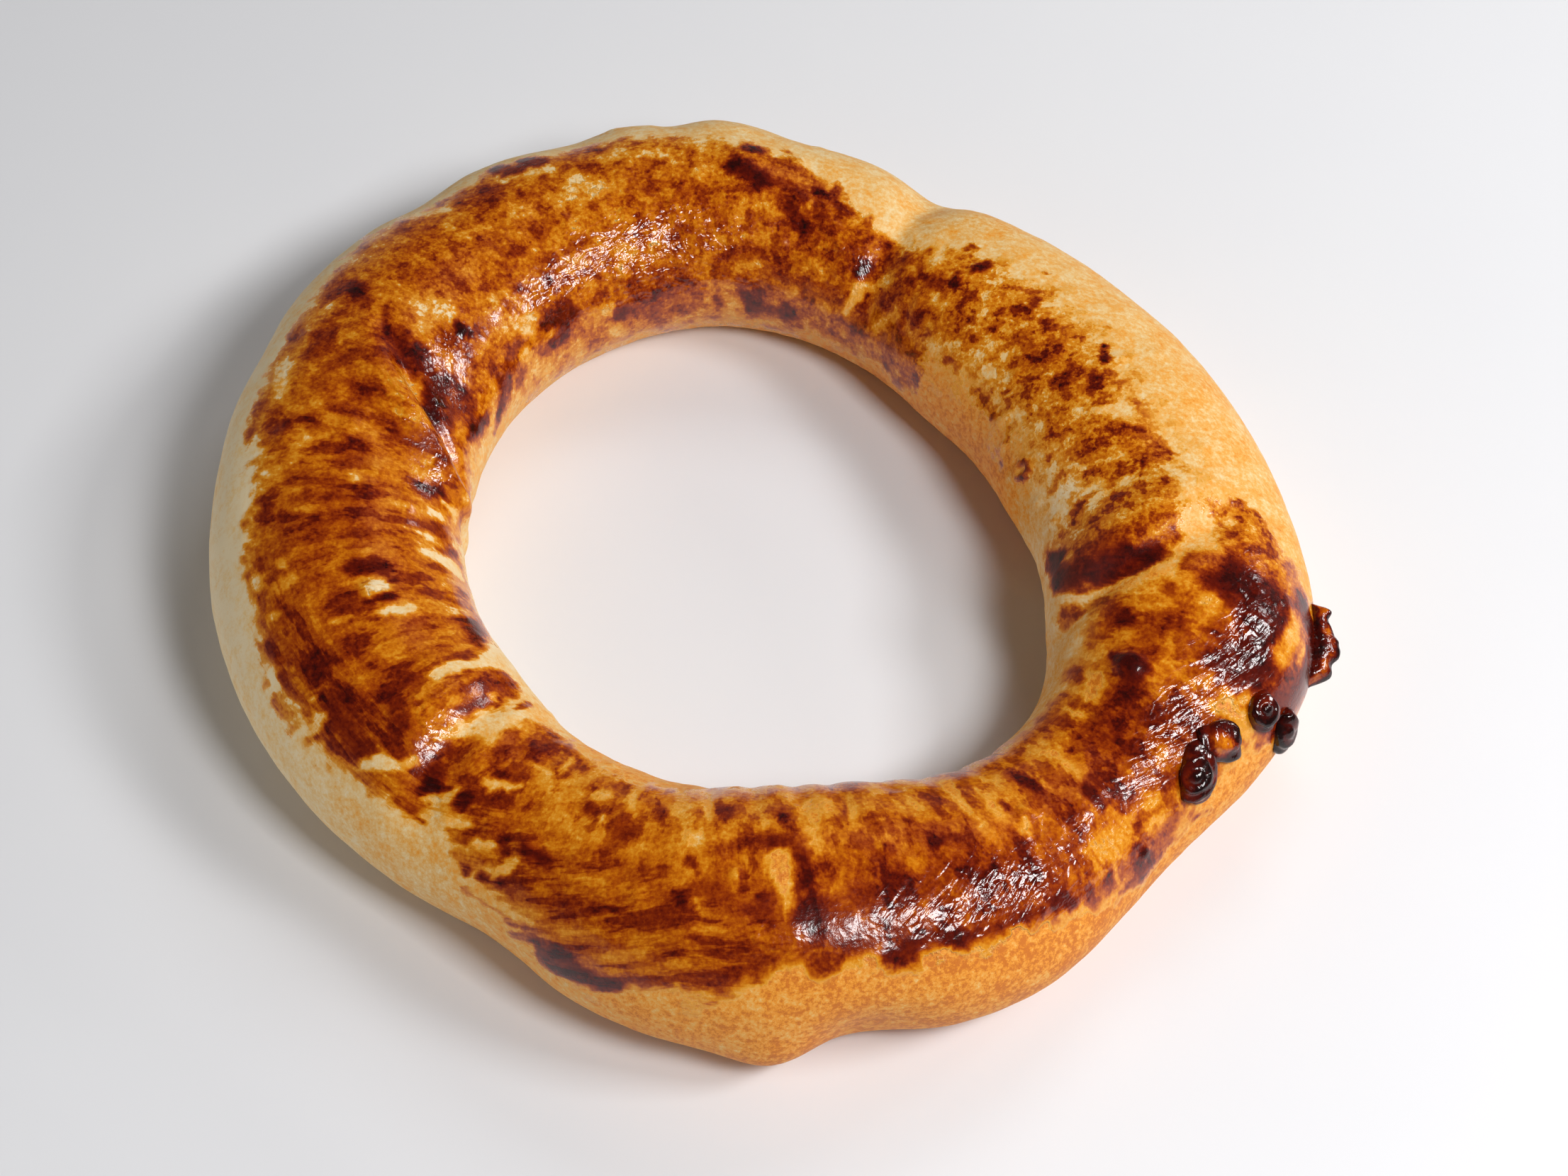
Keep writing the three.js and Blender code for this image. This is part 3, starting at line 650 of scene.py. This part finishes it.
def baking(bearing, roll):
    """How dark the skin is baked, from 0, bare dough, to 1, charred. Inside the brushed stretch it starts
    from the browning there, with streaks, and then each dab pulls it towards its own tone; a few lighter
    dabs are painted sheen or partly a painted highlight. Its edges run out in fingers, and noise shifts all
    of it along the ring and round the rope."""
    lay = lay_of(bearing, roll)
    speckled = within(SPECKLED, bearing)
    finger = mixed(*FINGER_LENGTHS, speckled) * streaked(bearing, roll, *FINGERS) + rough(lay, *FRINGE)
    streak = streaked(bearing, roll, *STREAKS)
    ragged = streaked(bearing, roll, *RAGS) + rough(lay, *FRAY)
    shift = lumpy(lay, *SHIFT_ALONG) + rough(lay, *SHIFT_ALONG_FINE)
    slide = lumpy(lay, *SHIFT_AROUND) + rough(lay, *SHIFT_AROUND_FINE)
    bearing = bearing + np.degrees(shift / RING_RADIUS)
    roll = roll + np.degrees(slide / ROPE_HALF_WIDTH)

    outer_fade = mixed(*OUTER_FADES, speckled)
    outer = ease(-1, 1, (roll - by_bearing(WASH_OUTER_EDGE, bearing) + finger) / outer_fade)
    inner_fade = by_bearing(WASH_INNER_FADE, bearing)
    inner = ease(-1, 1, (by_bearing(WASH_INNER_EDGE, bearing) - roll + finger) / inner_fade)
    paler = by_bearing(WASH_PALER_INSIDE, bearing) * ease(*PALER_ROLLS, roll)
    brown = by_bearing(WASH_BROWN, bearing) - paler + streak
    bake = mixed(BARE_BAKE, brown, outer * inner)

    for stretch in DABS.values():
        for mark in stretch:
            share = DAB_COVER * ease(*DAB_EDGE, dab(mark, bearing, roll) + ragged)
            bake = mixed(bake, mark[-1], share)
    return np.clip(bake, 0, 1)


def glossing(bearing, roll):
    """How glossy and how wrinkled the crust is: for each glossy spot a bell along the ring times a bell
    round the rope, and the most of any."""
    glossy, wrinkled = 0, 0
    for at_bearing, at_roll, along, across, wrinkles in GLOSSY:
        spot = bell(turn(at_bearing, bearing), along / GLOSSY_SPREADS)
        spot = spot * bell(turn(at_roll, roll), across / GLOSSY_SPREADS)
        glossy = np.maximum(glossy, spot)
        wrinkled = np.maximum(wrinkled, wrinkles * spot)
    return glossy, wrinkled


def toasting(bearing, roll):
    """How golden the bare dough is, from 0, cream, to 1, toasted: by bearing, more golden where the inner
    side at the back is baked through, and paler inside the right, partly its own paler dough and partly
    painted light that lightens the shaded inner wall."""
    toast = by_bearing(DOUGH_TOAST, bearing) + lumpy(lay_of(bearing, roll), *TOAST_LUMPS)
    golden = ease(*GOLDEN_ROLLS, roll) * within(GOLDEN_INSIDE, bearing)
    # Paler inside the right: partly the dough's own tone, partly painted light on the shaded inner wall
    pale_and_painted_light = ease(*PALE_AND_PAINTED_LIGHT_ROLLS, roll) * within(PALE_AND_PAINTED_LIGHT_INSIDE, bearing)
    return np.clip(toast + GOLDEN_TOAST * golden + PALE_AND_PAINTED_LIGHT_TOAST * pale_and_painted_light, 0, 1)


def sheltering(bearing, roll):
    """1 on the inner side by the join, where the crust is dull, 0 elsewhere."""
    return ease(*DULL_ROLLS, roll) * within(DULL_INSIDE, bearing)


def bubbling(bearing, roll):
    """The bubbles as flat-topped domes with soft edges, and the open blister as a rounded rim."""
    lift = 0
    for at_bearing, at_roll, radius, height in BUBBLES:
        apart = np.hypot(*laid_flat(bearing, roll, at_bearing, at_roll))
        lift = lift + height * ease(*BUBBLE_EDGE, apart / radius)
    at_bearing, at_roll, radius, width, height = OPEN_BLISTER
    apart = np.hypot(*laid_flat(bearing, roll, at_bearing, at_roll))
    return lift + height * bell(apart - radius, width)


def crust_relief(bearing, roll, bake):
    """Fine relief: soft lumps all over, ridges across the rope where it is browned, and small blisters as
    bells, all of it fading at the base."""
    lay = lay_of(bearing, roll)
    lift = lumpy(lay, *SOFT_LUMPS) + lumpy(lay, *SMALL_LUMPS)
    lift = lift + ease(*RIDGED_BAKES, bake) * lumpy(lay * RIDGE_SCALE, *RIDGES)
    draw = np.random.default_rng(SMALL_BLISTERS_SEED)
    for _ in range(SMALL_BLISTERS):
        at = draw.uniform(0, 360), draw.uniform(*SMALL_BLISTERS_ROLLS)
        size = draw.uniform(*SMALL_BLISTERS_SIZES)
        apart = np.hypot(*laid_flat(bearing, roll, *at))
        lift = lift + SMALL_BLISTERS_HEIGHT * size * bell(apart, size)
    from_edge = 90 + BASE_ROLL - np.abs(roll - 90)
    return (lift + bubbling(bearing, roll)) * ease(*RELIEF_EDGE, from_edge)


# The burnt cheese


def unit(vector):
    """The vector at length 1."""
    return vector / np.linalg.norm(vector, axis=-1, keepdims=True)


def seat(bearing, roll):
    """Points of the skin with their directions along the ring, round the rope and outwards."""
    bearing, roll = np.asarray(bearing, float), np.asarray(roll, float)
    steps = ((0, 0), (SEAT_STEP, 0), (0, SEAT_STEP))
    point, ahead, above = (
        skin(bearing + along, roll + up, form_lift(bearing + along, roll + up)) for along, up in steps
    )
    along = unit(ahead - point)
    out = unit(np.cross(along, unit(above - point)))
    return point, along, np.cross(out, along), out


def ball_grid(rows, columns):
    """Angles of a ball's grid without its poles: down from the top, and round."""
    down = np.arange(1, rows + 1) * np.pi / (rows + 1)
    around = np.arange(columns) * 2 * np.pi / columns
    return np.meshgrid(down, around, indexing="ij")


def bead_points(bead, down, turned, seed):
    """A bead: an ellipsoid on the skin, with its radius swelled by noise and by ripples in rings round a
    point on its upper side, as a cosine of the distance from there."""
    bearing, roll, sizes, lean, proud = bead[:5]
    point, along, around, out = seat(bearing, roll)
    lean = np.radians(lean)
    length_way = np.cos(lean) * along + np.sin(lean) * around
    width_way = np.cross(out, length_way)
    way = np.stack([np.sin(down) * np.cos(turned), np.sin(down) * np.sin(turned), np.cos(down)], -1)
    local = way * sizes
    apart = np.linalg.norm(local - np.multiply(RIPPLE_FROM, sizes), axis=-1)
    wobble = lumpy(local, *RIPPLE_WOBBLE, seed)
    ripple = RIPPLE_HEIGHT * np.cos(2 * np.pi * (apart + wobble) / RIPPLE_LENGTH)
    swell = 1 + rough(local, *BEAD_SWELL, seed + SWELL_SEED) + ripple / np.min(sizes)
    local = local * swell[..., None]
    place = point + out * proud + local @ np.stack([length_way, width_way, out])
    return place, ripple / RIPPLE_HEIGHT


def tapered(start, end, share):
    """1 between two shares of a length, falling softly to 0 at both its ends."""
    return ease(0, start, share) * ease(1, end, share)


def flap_points(share, turned):
    """The flap: at each share of its foot a thin loop that rises on its upper face to a ragged edge and
    comes back on its lower face, standing out most in the middle and hanging down as it goes out."""
    bearing, roll = (mixed(*ends, share) for ends in zip(FLAP_FROM, FLAP_TO))
    point, _, around, out = seat(bearing, roll)
    nothing = 0 * share
    line = np.stack([FLAP_LENGTH * share, nothing, nothing], -1)
    ragged = 1 + lumpy(line, *FLAP_RAGS) + rough(line, *FLAP_NICKS)
    tip = FLAP_TIP * bell(share - FLAP_TIP_AT, FLAP_TIP_LENGTH)
    reach = (FLAP_REACH + tip) * tapered(*FLAP_REACH_TAPER, share) * ragged
    rise = (1 - np.cos(turned)) / 2
    thick = FLAP_THICKNESS * np.sin(turned) * (FLAP_THIN_ENDS + tapered(*FLAP_THICK_TAPER, share))
    sheet = np.stack([FLAP_LENGTH * share, FLAP_WIDTH * rise, nothing], -1)
    crumple = lumpy(sheet, *FLAP_CRUMPLE) * rise
    stand = (rise * (reach + FLAP_ROOT) - FLAP_ROOT)[..., None] * out
    hang = (thick + crumple - FLAP_HANG * rise**2 * ease(*FLAP_HANG_FROM, share))[..., None] * around
    return point + stand + hang, rise


# Meshes


def add_mesh(name, points, faces, material):
    """A mesh from points in metres, in the scene."""
    mesh = bpy.data.meshes.new(name)
    mesh.from_pydata(points, [], faces)
    mesh.materials.append(material)
    body = bpy.data.objects.new(name, mesh)
    bpy.context.scene.collection.objects.link(body)
    return body


def add_piece(name, points, faces, material):
    """A smooth piece made from points in millimetres, riding on the loaf."""
    piece = add_mesh(name, points.reshape(-1, 3) * MM, faces, material)
    piece.data.shade_smooth()
    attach(piece, "root")
    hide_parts(NODE)
    return piece


def grid_faces(row, next_row, columns):
    """Four-sided faces between rows of points and the rows after them, each row closing on itself."""
    row, column = np.meshgrid(row, np.arange(columns), indexing="ij")
    next_row = np.broadcast_to(np.reshape(next_row, (-1, 1)), row.shape)
    next_column = (column + 1) % columns
    corners = (row, column), (next_row, column), (next_row, next_column), (row, next_column)
    return np.stack([r * columns + c for r, c in corners], -1).reshape(-1, 4).tolist()


def ring_faces(rows, columns):
    """Four-sided faces of a grid that closes on itself both ways."""
    row = np.arange(rows)
    return grid_faces(row, (row + 1) % rows, columns)


def capped_faces(rows, columns):
    """Faces of a grid that closes on itself along its columns, with its first and last rows closed by two
    more points after the grid's own."""
    first, last = rows * columns, rows * columns + 1
    row = np.arange(rows - 1)
    here = np.arange(columns)
    after = (here + 1) % columns
    below = (rows - 1) * columns
    top = np.stack([np.full(columns, first), here, after], -1).tolist()
    bottom = np.stack([np.full(columns, last), below + after, below + here], -1).tolist()
    return grid_faces(row, row + 1, columns) + top + bottom


def capped(grid):
    """A grid's points or values in a row, with the middles of its first and last rows added."""
    return np.concatenate([grid.reshape(-1, *grid.shape[2:]), grid[:1].mean(1), grid[-1:].mean(1)])


def paint(piece, lay, brush, **fields):
    """What the crust's material reads at every corner: numbers, each one for all or one for each corner,
    and the two places in millimetres that its patterns follow."""
    attributes = piece.data.attributes
    count = len(piece.data.vertices)
    for name, values in fields.items():
        values = np.broadcast_to(values, np.shape(values) or count).astype(np.float32)
        attributes.new(name, "FLOAT", "POINT").data.foreach_set("value", values.ravel())
    for name, places in (("lay", lay), ("brush", brush)):
        places = (places * MM).astype(np.float32)
        attributes.new(name, "FLOAT_VECTOR", "POINT").data.foreach_set("vector", places.ravel())


# Materials


def colour(red, green, blue):
    """A screen colour from 0 to 255 as the linear colour that shaders use."""
    screen = np.array([red, green, blue]) / 255
    linear = np.where(screen > 0.04045, ((screen + 0.055) / 1.055) ** 2.4, screen / 12.92)
    return (*linear, 1.0)


# The browned skin from gold to charred, and the bare dough from cream to toasted
WASH_RAMP = [
    (0.20, colour(226, 162, 62)),
    (0.30, colour(214, 136, 26)),
    (0.40, colour(198, 109, 6)),
    (0.50, colour(172, 80, 2)),
    (0.60, colour(146, 54, 1)),
    (0.70, colour(118, 32, 1)),
    (0.80, colour(90, 15, 1)),
    (0.90, colour(60, 6, 2)),
    (1.00, colour(24, 4, 3)),
]
DOUGH_RAMP = [
    (0.00, colour(232, 210, 168)),
    (0.25, colour(230, 194, 132)),
    (0.50, colour(228, 168, 80)),
    (0.75, colour(230, 146, 32)),
    (1.00, colour(200, 108, 10)),
]
# Fine patterns of the crust: size in metres, detail, roughness and distortion
STREAK_ACROSS = (0.0020, 2, 0.5)
STREAK_ALONG = (0.0014, 2, 0.5)
PATCH_ACROSS = (0.0055, 4, 0.62)
PATCH_ALONG = (0.0040, 4, 0.6)
SPECKLE = (0.0008, 2, 0.6)
DOUGH_GRAIN = (0.0011, 5, 0.78)
MOTTLE = (0.0038, 4, 0.62)
FILM_FOLDS = (0.0022, 2, 0.45, 0.6)
FILM_CRINKLE = (0.0018, 1, 0.5, 0.6)
# How patterns are drawn out across the rope or along the brush's lines
STREAK_ACROSS_SCALE = (1, 1, 0.4)
PATCH_ACROSS_SCALE = (1, 1, 0.55)
FILM_FOLDS_SCALE = (1.6, 1.6, 1)
# Patches: the pattern's values where dark ones start and are full and how much darker they are, then
# where pale ones are full and end and how much paler they are
STREAKY_PATCHES = ((0.51, 0.58), 0.19, (0.40, 0.47), 0.13)
DOTTY_PATCHES = ((0.53, 0.60), 0.21, (0.38, 0.46), 0.17)
# How far the streaks, the mottling and the speckles swing the browning, and the last two where it is dots
STREAKY_SWINGS = (0.30, 0.32, 0.42)
DOTTY_SWINGS = (0.40, 0.65)
# Where the pale and the dark skin start to be calmer, and how much of the unrest is left there
CALM_PALE = (0.05, 0.35)
CALM_PALE_SHARE = 0.3
CALM_DARK = (0.6, 0.9)
CALM_DARK_SHARE = 0.4
# How brown the skin is where the egg wash starts to cover the dough and where it covers it
COVERED = (0.11, 0.26)
# How far the grain and the mottling swing the dough's tone, and the grain's share on pale and toasted dough
GRAIN_SWING = 1.3
GRAIN_BY_TOAST = (0.7, 2.0)
DOUGH_MOTTLE_SWING = 0.8
# Roughness, shine and depths of the bumps in metres
DOUGH_ROUGHNESS = 0.60
WASH_ROUGHNESS = 0.19
GLOSSY_ROUGHNESS = 0.13
DULL_ROUGHNESS = 0.45
SHINE = 0.52
SPECKLE_DEPTH = 0.00006
FILM_DEPTH = 0.0006
FILM_CRINKLE_SHARE = 0.6
FILM_SMOOTH_SHARE = 0.08
FLOOR_ROUGHNESS = 0.55
FLOOR_MOTTLE = (0.05, 2)
FLOOR_TONES = (colour(230, 230, 233), colour(233, 233, 235))


class Nodes:
    """A short way to write a material: each call adds a node, feeds its sockets and gives its output."""

    def __init__(self, name):
        self.material = bpy.data.materials.new(name)
        self.material.use_nodes = True
        self.tree = self.material.node_tree
        self.shader = self.tree.nodes["Principled BSDF"]

    def feed(self, socket, value):
        """A number or colour set on a socket, or another node's output linked to it."""
        if isinstance(value, bpy.types.NodeSocket):
            self.tree.links.new(value, socket)
        elif value is not None:
            socket.default_value = value

    def add(self, kind, *values, **settings):
        """A new node with its settings, and with values for its first sockets in order."""
        node = self.tree.nodes.new("ShaderNode" + kind)
        for name, value in settings.items():
            setattr(node, name, value)
        for socket, value in zip(node.inputs, values):
            self.feed(socket, value)
        return node

    def named(self, node, **values):
        """The node, with its sockets fed by name, where _ stands for a space."""
        for name, value in values.items():
            self.feed(node.inputs[name.replace("_", " ")], value)
        return node

    def times(self, first, second):
        """The product of two values."""
        return self.add("Math", first, second, operation="MULTIPLY").outputs[0]

    def field(self, name):
        """A number that the mesh has at every corner."""
        return self.add("Attribute", attribute_name=name).outputs["Fac"]

    def place(self, name):
        """A place that the mesh has at every corner."""
        return self.add("Attribute", attribute_name=name).outputs["Vector"]

    def object_place(self):
        """The place in the object's own axes."""
        return self.add("TexCoord").outputs["Object"]

    def scaled(self, place, scale):
        """A place times a scale in each direction."""
        return self.named(self.add("Mapping", place), Scale=scale).outputs["Vector"]

    def noise(self, place, size, detail, roughness=0.5, distortion=0.0):
        """Noise from 0 to 1 with lumps about size metres apart."""
        node = self.named(self.add("TexNoise"), Vector=place, Scale=1 / size, Detail=detail)
        return self.named(node, Roughness=roughness, Distortion=distortion).outputs["Fac"]

    def swing(self, value, amount):
        """A noise value turned into a swing of plus or minus half the amount."""
        centred = self.add("Math", value, 0.5, operation="SUBTRACT").outputs[0]
        return self.times(centred, amount)

    def total(self, *values):
        """The sum of some values."""
        result = values[0]
        for value in values[1:]:
            result = self.add("Math", result, value, operation="ADD").outputs[0]
        return result

    def step(self, value, low, high):
        """A soft step from 0 at low to 1 at high."""
        node = self.add("MapRange", value, low, high, 0.0, 1.0, interpolation_type="SMOOTHSTEP")
        return node.outputs["Result"]

    def between(self, value, low, high):
        """A straight blend from low at 0 to high at 1."""
        return self.add("MapRange", value, 0.0, 1.0, low, high).outputs["Result"]

    def blend(self, share, first, second):
        """A straight blend from the first pattern at 0 to the second at 1."""
        return self.add("Mix", share, None, first, second).outputs[0]

    def patches(self, pattern, dark_from, darker, pale_to, paler):
        """Dark patches where a pattern is high, and pale ones where it is low."""
        dark = self.between(self.step(pattern, *dark_from), 0.0, darker)
        return self.total(dark, self.between(self.step(pattern, *pale_to), -paler, 0.0))

    def ramp(self, value, stops):
        """Colours blended between stops."""
        node = self.add("ValToRGB", value)
        set_stops(node.color_ramp, stops)
        return node.outputs["Color"]

    def mix_colour(self, share, first, second):
        """A straight blend from the first colour at 0 to the second at 1."""
        node = self.add("Mix", share, data_type="RGBA")
        colours = [s for s in node.inputs if s.type == "RGBA"]
        self.feed(colours[0], first)
        self.feed(colours[1], second)
        return next(s for s in node.outputs if s.type == "RGBA")

    def bump(self, height, depth, normal=None):
        """The surface's direction tilted by a height pattern of a given depth."""
        node = self.named(self.add("Bump"), Strength=1.0, Distance=depth, Height=height, Normal=normal)
        return node.outputs["Normal"]

    def finish(self, **sockets):
        """The material, with the shader's sockets fed by name."""
        self.named(self.shader, **sockets)
        return self.material


def set_stops(ramp, stops):
    """A ramp's stops, each a place from 0 to 1 and a colour."""
    while len(ramp.elements) < len(stops):
        ramp.elements.new(0.5)
    for element, (place, tone) in zip(ramp.elements, stops):
        element.position = place
        element.color = tone


def crust_material():
    """Pale speckled dough under a streaky glossy brown brushing, read from the crust's own fields."""
    n = Nodes("baked_crust")
    place = n.object_place()
    lay = n.place("lay")
    brush = n.place("brush")
    bake = n.field("bake")
    along = n.field("along")
    streaks_across = n.noise(n.scaled(lay, STREAK_ACROSS_SCALE), *STREAK_ACROSS)
    streaks = n.blend(along, streaks_across, n.noise(brush, *STREAK_ALONG))
    patches_across = n.noise(n.scaled(lay, PATCH_ACROSS_SCALE), *PATCH_ACROSS)
    patches = n.blend(along, patches_across, n.noise(brush, *PATCH_ALONG))
    speckle = n.noise(place, *SPECKLE)
    mottle = n.noise(place, *MOTTLE)

    swings = map(n.swing, (streaks, mottle, speckle), STREAKY_SWINGS)
    streaky = n.total(n.patches(patches, *STREAKY_PATCHES), *swings)
    swings = map(n.swing, (mottle, speckle), DOTTY_SWINGS)
    dotty = n.total(n.patches(mottle, *DOTTY_PATCHES), *swings)
    unrest = n.blend(n.field("dotted"), streaky, dotty)
    room_below = n.between(n.step(bake, *CALM_PALE), CALM_PALE_SHARE, 1.0)
    room_above = n.between(n.step(bake, *CALM_DARK), 1.0, CALM_DARK_SHARE)
    brown = n.total(bake, n.times(unrest, n.times(room_below, room_above)))
    cover = n.step(brown, *COVERED)
    toasted = n.field("toast")
    grain = n.times(n.swing(n.noise(place, *DOUGH_GRAIN), GRAIN_SWING), n.between(toasted, *GRAIN_BY_TOAST))
    toast = n.total(toasted, grain, n.swing(mottle, DOUGH_MOTTLE_SWING))
    tone = n.mix_colour(cover, n.ramp(toast, DOUGH_RAMP), n.ramp(brown, WASH_RAMP))

    wash_rough = n.between(n.field("glossy"), WASH_ROUGHNESS, GLOSSY_ROUGHNESS)
    skin_rough = n.total(n.between(cover, DOUGH_ROUGHNESS, 0.0), n.times(cover, wash_rough))
    roughness = n.total(skin_rough, n.times(n.field("dull"), DULL_ROUGHNESS))
    folds = n.noise(n.scaled(brush, FILM_FOLDS_SCALE), *FILM_FOLDS)
    film = n.total(folds, n.times(n.noise(lay, *FILM_CRINKLE), FILM_CRINKLE_SHARE))
    height = n.times(film, n.between(n.field("wrinkled"), FILM_SMOOTH_SHARE, 1.0))
    speckled = n.bump(speckle, SPECKLE_DEPTH)
    wrinkled = n.bump(n.times(height, cover), FILM_DEPTH, speckled)
    return n.finish(Base_Color=tone, Roughness=roughness, Normal=wrinkled, Specular_IOR_Level=SHINE)


def floor_material():
    """A pale smooth table top with the faintest mottling."""
    n = Nodes("pale_table")
    mottle = n.noise(n.object_place(), *FLOOR_MOTTLE)
    return n.finish(Base_Color=n.mix_colour(mottle, *FLOOR_TONES), Roughness=FLOOR_ROUGHNESS)


# The pieces


def make_crust(material):
    """The whole loaf's skin on one closed grid, with its paint kept as fields on the mesh."""
    bearing, roll = crust_grid()
    bake = baking(bearing, roll)
    lift = form_lift(bearing, roll) + crust_relief(bearing, roll, bake)
    crust = add_piece("crust", skin(bearing, roll, lift), ring_faces(*bearing.shape), material)
    glossy, wrinkled = glossing(bearing, roll)
    paint(crust, lay_of(bearing, roll), brush_of(bearing, roll), bake=bake, toast=toasting(bearing, roll),
          dotted=dotting(bearing), glossy=glossy, along=brushed_along(bearing, roll), wrinkled=wrinkled,
          dull=sheltering(bearing, roll))


def make_burnt(name, points, bake, material, **gloss):
    """A closed piece of burnt cheese on a grid, with its own gloss and no brushing."""
    piece = add_piece(name, capped(points), capped_faces(*bake.shape), material)
    bake = np.clip(capped(bake), 0, 1)
    paint(piece, capped(points), capped(points), bake=bake, toast=BURNT_TOAST, dotted=0.0, along=0.0,
          dull=0.0, **gloss)


def make_bead(name, bead, seed, material):
    """A bead of burnt cheese, darker on its ripples."""
    down, turned = ball_grid(*BEAD_STEPS)
    points, ripple = bead_points(bead, down, turned, seed)
    top, rim = bead[5:]
    dark = mixed(top, rim, ease(*BEAD_RIM, np.sin(down))) + RIPPLE_DARK * ripple
    make_burnt(name, points, dark, material, **BEAD_GLOSS)


def make_flap(material):
    """The ragged flap, darkest at its foot and along its edge."""
    steps, steps_round = FLAP_STEPS
    turns = np.arange(steps_round) * 2 * np.pi / steps_round
    share, turned = np.meshgrid(np.linspace(*FLAP_ENDS, steps), turns, indexing="ij")
    points, rise = flap_points(share, turned)
    paler = FLAP_FACE_PALER * ease(*FLAP_FACE, rise)
    darker = FLAP_EDGE_DARKER * ease(*FLAP_EDGE, rise)
    make_burnt("burnt_flap", points, FLAP_FOOT_DARK - paler + darker, material, **FLAP_GLOSS)


# Floor, lights and camera

FLOOR_HALF = 1.6
FLOOR_DROP = 0.0001
LENS_MM = 85
CAMERA_ELEVATION = 54
CAMERA_DISTANCE = 0.670
CAMERA_TARGET = Vector((0.003424, -0.009951, 0.018))
# Glow of the studio's walls from the horizon up: sine of the elevation, brightness
WALL_GLOW = [(0.0, 0.18), (0.2, 0.14), (0.4, 0.06), (1.0, 0.05)]
# Lamps: place, width and height, watts, whether the gloss mirrors them
LAMPS = {
    "front": ((0.36, -0.38, 0.68), (0.23, 0.23), 4.2, True),
    "overhead": ((0.66, -0.11, 0.62), (0.24, 0.18), 3.6, True),
    "side": ((0.785, 0.42, 0.45), (0.15, 0.11), 0.75, True),
    "back": ((0.30, 0.60, 0.66), (0.40, 0.30), 1.7, False),
    "fill": ((-0.62, -0.20, 0.16), (0.90, 0.22), 1.15, False),
}


def make_floor():
    """A plain table top just under the loaf."""
    corners = np.array([(-1, -1), (1, -1), (1, 1), (-1, 1)]) * FLOOR_HALF
    points = [(x, y, -FLOOR_DROP) for x, y in corners]
    floor = add_mesh("floor", points, [(0, 1, 2, 3)], floor_material())


def make_lamps():
    """Soft oblong lamps that look at the loaf."""
    for name, (place, (width, height), watts, mirrored) in LAMPS.items():
        lamp = bpy.data.lights.new(name, "AREA")
        lamp.shape = "RECTANGLE"
        lamp.size = width
        lamp.size_y = height
        lamp.energy = watts
        body = bpy.data.objects.new(name, lamp)
        body.location = place
        body.visible_glossy = mirrored
        body.rotation_euler = (CAMERA_TARGET - Vector(place)).to_track_quat("-Z", "Y").to_euler()
        bpy.context.scene.collection.objects.link(body)


def make_world():
    """Pale studio walls that glow near the horizon, under a dark ceiling."""
    world = bpy.data.worlds.new("studio")
    world.use_nodes = True
    nodes, links = world.node_tree.nodes, world.node_tree.links
    place = nodes.new("ShaderNodeTexCoord")
    split = nodes.new("ShaderNodeSeparateXYZ")
    ramp = nodes.new("ShaderNodeValToRGB")
    set_stops(ramp.color_ramp, [(height, (glow, glow, glow, 1.0)) for height, glow in WALL_GLOW])
    links.new(place.outputs["Generated"], split.inputs["Vector"])
    links.new(split.outputs["Z"], ramp.inputs["Fac"])
    links.new(ramp.outputs["Color"], nodes["Background"].inputs["Color"])
    bpy.context.scene.world = world


def make_camera():
    """A view from the front, looking down at the ring."""
    data = bpy.data.cameras.new("camera")
    data.lens = LENS_MM
    camera = bpy.data.objects.new("camera", data)
    tilt = np.radians(CAMERA_ELEVATION)
    back = Vector((0, -np.cos(tilt), np.sin(tilt)))
    camera.location = CAMERA_TARGET + back * CAMERA_DISTANCE
    camera.rotation_euler = (-back).to_track_quat("-Z", "Y").to_euler()
    bpy.context.scene.collection.objects.link(camera)
    bpy.context.scene.camera = camera


bpy.context.scene.view_settings.view_transform = "Standard"
baked = crust_material()
make_crust(baked)
for number, (title, shape) in enumerate(BEADS.items()):
    make_bead(title, shape, BEAD_SEED + BEAD_SEED_STEP * number, baked)
make_flap(baked)
make_floor()
make_world()
make_lamps()
make_camera()
